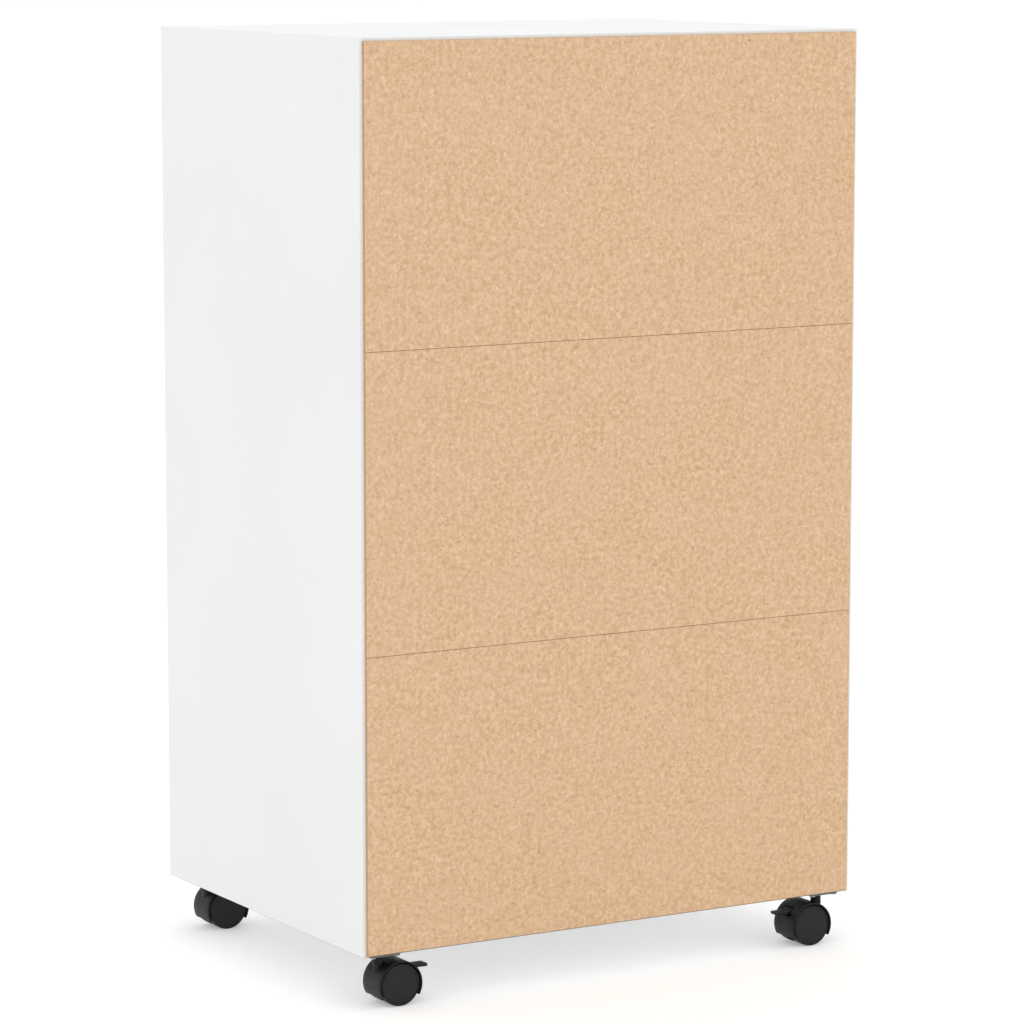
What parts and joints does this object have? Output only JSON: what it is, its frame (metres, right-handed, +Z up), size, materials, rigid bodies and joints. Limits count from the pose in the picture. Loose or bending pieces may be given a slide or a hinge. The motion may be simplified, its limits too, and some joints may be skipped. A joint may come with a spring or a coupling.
{
  "type": "rolling pedestal cabinet",
  "caption": "White board drawer pedestal on twin-wheel swivel castors, with inset drawers on roller slides and a jointed hardboard back.",
  "frame": {"origin": "on the floor under the centre of the bounding box, castors standing on the floor", "axes": "+Z up, drawers open towards -Y, the hardboard back faces +Y, +X to the right of a person facing the drawers"},
  "size_m": [0.5, 0.401, 0.823],
  "materials": {
    "white_board": "white melamine-faced chipboard, satin",
    "back_hardboard": "raw tan hardboard, matt",
    "drawer_board": "white foil-faced board, satin",
    "drawer_base_board": "white-faced hardboard, satin",
    "coated_rail_steel": "white epoxy coat, satin",
    "roller_nylon": "moulded nylon",
    "handle_metal": "brushed, satin",
    "zinc_steel": "zinc plated",
    "lacquered_pin": "tan lacquer",
    "castor_wheel_plastic": "moulded black, satin",
    "castor_hood_plastic": "moulded black, satin",
    "brake_plastic": "moulded black, satin"
  },
  "bodies": {
    "carcass": {"side_panel_left": "white_board", "side_panel_right": "white_board", "top_panel": "white_board", "bottom_panel": "white_board", "back_board_top": "back_hardboard", "back_board_middle": "back_hardboard", "back_board_bottom": "back_hardboard", "back_board_pins": "lacquered_pin", "carcass_fittings": "zinc_steel", "cabinet_rails": "coated_rail_steel", "castor_plates": "zinc_steel", "castor_screws": "zinc_steel"},
    "drawer_bottom": {"drawer_bottom_front": "white_board", "drawer_bottom_side_left": "drawer_board", "drawer_bottom_side_right": "drawer_board", "drawer_bottom_back": "drawer_board", "drawer_bottom_base": "drawer_base_board", "drawer_bottom_handle": "handle_metal", "drawer_bottom_rails": "coated_rail_steel", "drawer_bottom_fasteners": "zinc_steel"},
    "cabinet_bottom_front_rollers": {"cabinet_bottom_front_rollers": "roller_nylon"},
    "drawer_bottom_rear_rollers": {"drawer_bottom_rear_rollers": "roller_nylon"},
    "drawer_middle": {"drawer_middle_front": "white_board", "drawer_middle_side_left": "drawer_board", "drawer_middle_side_right": "drawer_board", "drawer_middle_back": "drawer_board", "drawer_middle_base": "drawer_base_board", "drawer_middle_handle": "handle_metal", "drawer_middle_rails": "coated_rail_steel", "drawer_middle_fasteners": "zinc_steel"},
    "cabinet_middle_front_rollers": {"cabinet_middle_front_rollers": "roller_nylon"},
    "drawer_middle_rear_rollers": {"drawer_middle_rear_rollers": "roller_nylon"},
    "drawer_top": {"drawer_top_front": "white_board", "drawer_top_side_left": "drawer_board", "drawer_top_side_right": "drawer_board", "drawer_top_back": "drawer_board", "drawer_top_base": "drawer_base_board", "drawer_top_handle": "handle_metal", "drawer_top_rails": "coated_rail_steel", "drawer_top_fasteners": "zinc_steel"},
    "cabinet_top_front_rollers": {"cabinet_top_front_rollers": "roller_nylon"},
    "drawer_top_rear_rollers": {"drawer_top_rear_rollers": "roller_nylon"},
    "castor_front_left": {"castor_front_left_body": "castor_hood_plastic", "castor_front_left_axle": "zinc_steel"},
    "castor_front_left_wheel_a": {"castor_front_left_wheel_a": "castor_wheel_plastic"},
    "castor_front_left_wheel_b": {"castor_front_left_wheel_b": "castor_wheel_plastic"},
    "castor_front_right": {"castor_front_right_body": "castor_hood_plastic", "castor_front_right_axle": "zinc_steel"},
    "castor_front_right_wheel_a": {"castor_front_right_wheel_a": "castor_wheel_plastic"},
    "castor_front_right_wheel_b": {"castor_front_right_wheel_b": "castor_wheel_plastic"},
    "castor_rear_left": {"castor_rear_left_body": "castor_hood_plastic", "castor_rear_left_axle": "zinc_steel"},
    "castor_rear_left_wheel_a": {"castor_rear_left_wheel_a": "castor_wheel_plastic"},
    "castor_rear_left_wheel_b": {"castor_rear_left_wheel_b": "castor_wheel_plastic"},
    "castor_rear_left_brake": {"castor_rear_left_brake": "brake_plastic"},
    "castor_rear_right": {"castor_rear_right_body": "castor_hood_plastic", "castor_rear_right_axle": "zinc_steel"},
    "castor_rear_right_wheel_a": {"castor_rear_right_wheel_a": "castor_wheel_plastic"},
    "castor_rear_right_wheel_b": {"castor_rear_right_wheel_b": "castor_wheel_plastic"},
    "castor_rear_right_brake": {"castor_rear_right_brake": "brake_plastic"}
  },
  "joints": [
    {"name": "drawer_bottom_slide", "type": "slide", "parent": "carcass", "child": "drawer_bottom", "axis": [0, -1, 0], "range_m": [0, 0.24]},
    {"name": "cabinet_bottom_front_rollers_spin", "type": "hinge", "parent": "carcass", "child": "cabinet_bottom_front_rollers", "pos_m": [0, -0.1405, 0.0967], "axis": [1, 0, 0], "continuous": true},
    {"name": "drawer_bottom_rear_rollers_spin", "type": "hinge", "parent": "drawer_bottom", "child": "drawer_bottom_rear_rollers", "pos_m": [0, 0.1345, 0.0967], "axis": [1, 0, 0], "continuous": true},
    {"name": "drawer_middle_slide", "type": "slide", "parent": "carcass", "child": "drawer_middle", "axis": [0, -1, 0], "range_m": [0, 0.24]},
    {"name": "cabinet_middle_front_rollers_spin", "type": "hinge", "parent": "carcass", "child": "cabinet_middle_front_rollers", "pos_m": [0, -0.1405, 0.34437], "axis": [1, 0, 0], "continuous": true},
    {"name": "drawer_middle_rear_rollers_spin", "type": "hinge", "parent": "drawer_middle", "child": "drawer_middle_rear_rollers", "pos_m": [0, 0.1345, 0.34437], "axis": [1, 0, 0], "continuous": true},
    {"name": "drawer_top_slide", "type": "slide", "parent": "carcass", "child": "drawer_top", "axis": [0, -1, 0], "range_m": [0, 0.24]},
    {"name": "cabinet_top_front_rollers_spin", "type": "hinge", "parent": "carcass", "child": "cabinet_top_front_rollers", "pos_m": [0, -0.1405, 0.59203], "axis": [1, 0, 0], "continuous": true},
    {"name": "drawer_top_rear_rollers_spin", "type": "hinge", "parent": "drawer_top", "child": "drawer_top_rear_rollers", "pos_m": [0, 0.1345, 0.59203], "axis": [1, 0, 0], "continuous": true},
    {"name": "castor_front_left_swivel", "type": "hinge", "parent": "carcass", "child": "castor_front_left", "pos_m": [-0.226, -0.144, 0.03], "axis": [0, 0, 1], "continuous": true},
    {"name": "castor_front_left_wheel_a_spin", "type": "hinge", "parent": "castor_front_left", "child": "castor_front_left_wheel_a", "pos_m": [-0.212, -0.144, 0.0186], "axis": [0, 1, 0], "continuous": true},
    {"name": "castor_front_left_wheel_b_spin", "type": "hinge", "parent": "castor_front_left", "child": "castor_front_left_wheel_b", "pos_m": [-0.212, -0.144, 0.0186], "axis": [0, 1, 0], "continuous": true},
    {"name": "castor_front_right_swivel", "type": "hinge", "parent": "carcass", "child": "castor_front_right", "pos_m": [0.226, -0.144, 0.03], "axis": [0, 0, 1], "continuous": true},
    {"name": "castor_front_right_wheel_a_spin", "type": "hinge", "parent": "castor_front_right", "child": "castor_front_right_wheel_a", "pos_m": [0.212, -0.144, 0.0186], "axis": [0, -1, 0], "continuous": true},
    {"name": "castor_front_right_wheel_b_spin", "type": "hinge", "parent": "castor_front_right", "child": "castor_front_right_wheel_b", "pos_m": [0.212, -0.144, 0.0186], "axis": [0, -1, 0], "continuous": true},
    {"name": "castor_rear_left_swivel", "type": "hinge", "parent": "carcass", "child": "castor_rear_left", "pos_m": [-0.226, 0.181, 0.03], "axis": [0, 0, 1], "continuous": true},
    {"name": "castor_rear_left_wheel_a_spin", "type": "hinge", "parent": "castor_rear_left", "child": "castor_rear_left_wheel_a", "pos_m": [-0.212, 0.181, 0.0186], "axis": [0, 1, 0], "continuous": true},
    {"name": "castor_rear_left_wheel_b_spin", "type": "hinge", "parent": "castor_rear_left", "child": "castor_rear_left_wheel_b", "pos_m": [-0.212, 0.181, 0.0186], "axis": [0, 1, 0], "continuous": true},
    {"name": "castor_rear_left_brake_press", "type": "hinge", "parent": "castor_rear_left", "child": "castor_rear_left_brake", "pos_m": [-0.204, 0.181, 0.0291], "axis": [0, 1, 0], "range_deg": [0, 7]},
    {"name": "castor_rear_right_swivel", "type": "hinge", "parent": "carcass", "child": "castor_rear_right", "pos_m": [0.226, 0.181, 0.03], "axis": [0, 0, 1], "continuous": true},
    {"name": "castor_rear_right_wheel_a_spin", "type": "hinge", "parent": "castor_rear_right", "child": "castor_rear_right_wheel_a", "pos_m": [0.212, 0.181, 0.0186], "axis": [0, -1, 0], "continuous": true},
    {"name": "castor_rear_right_wheel_b_spin", "type": "hinge", "parent": "castor_rear_right", "child": "castor_rear_right_wheel_b", "pos_m": [0.212, 0.181, 0.0186], "axis": [0, -1, 0], "continuous": true},
    {"name": "castor_rear_right_brake_press", "type": "hinge", "parent": "castor_rear_right", "child": "castor_rear_right_brake", "pos_m": [0.204, 0.181, 0.0291], "axis": [0, -1, 0], "range_deg": [0, 7]}
  ],
  "couplings": [
    {"joint": "cabinet_bottom_front_rollers_spin", "follows": "drawer_bottom_slide", "rad_per_m": 106.38},
    {"joint": "drawer_bottom_rear_rollers_spin", "follows": "drawer_bottom_slide", "rad_per_m": 106.38},
    {"joint": "cabinet_middle_front_rollers_spin", "follows": "drawer_middle_slide", "rad_per_m": 106.38},
    {"joint": "drawer_middle_rear_rollers_spin", "follows": "drawer_middle_slide", "rad_per_m": 106.38},
    {"joint": "cabinet_top_front_rollers_spin", "follows": "drawer_top_slide", "rad_per_m": 106.38},
    {"joint": "drawer_top_rear_rollers_spin", "follows": "drawer_top_slide", "rad_per_m": 106.38}
  ]
}
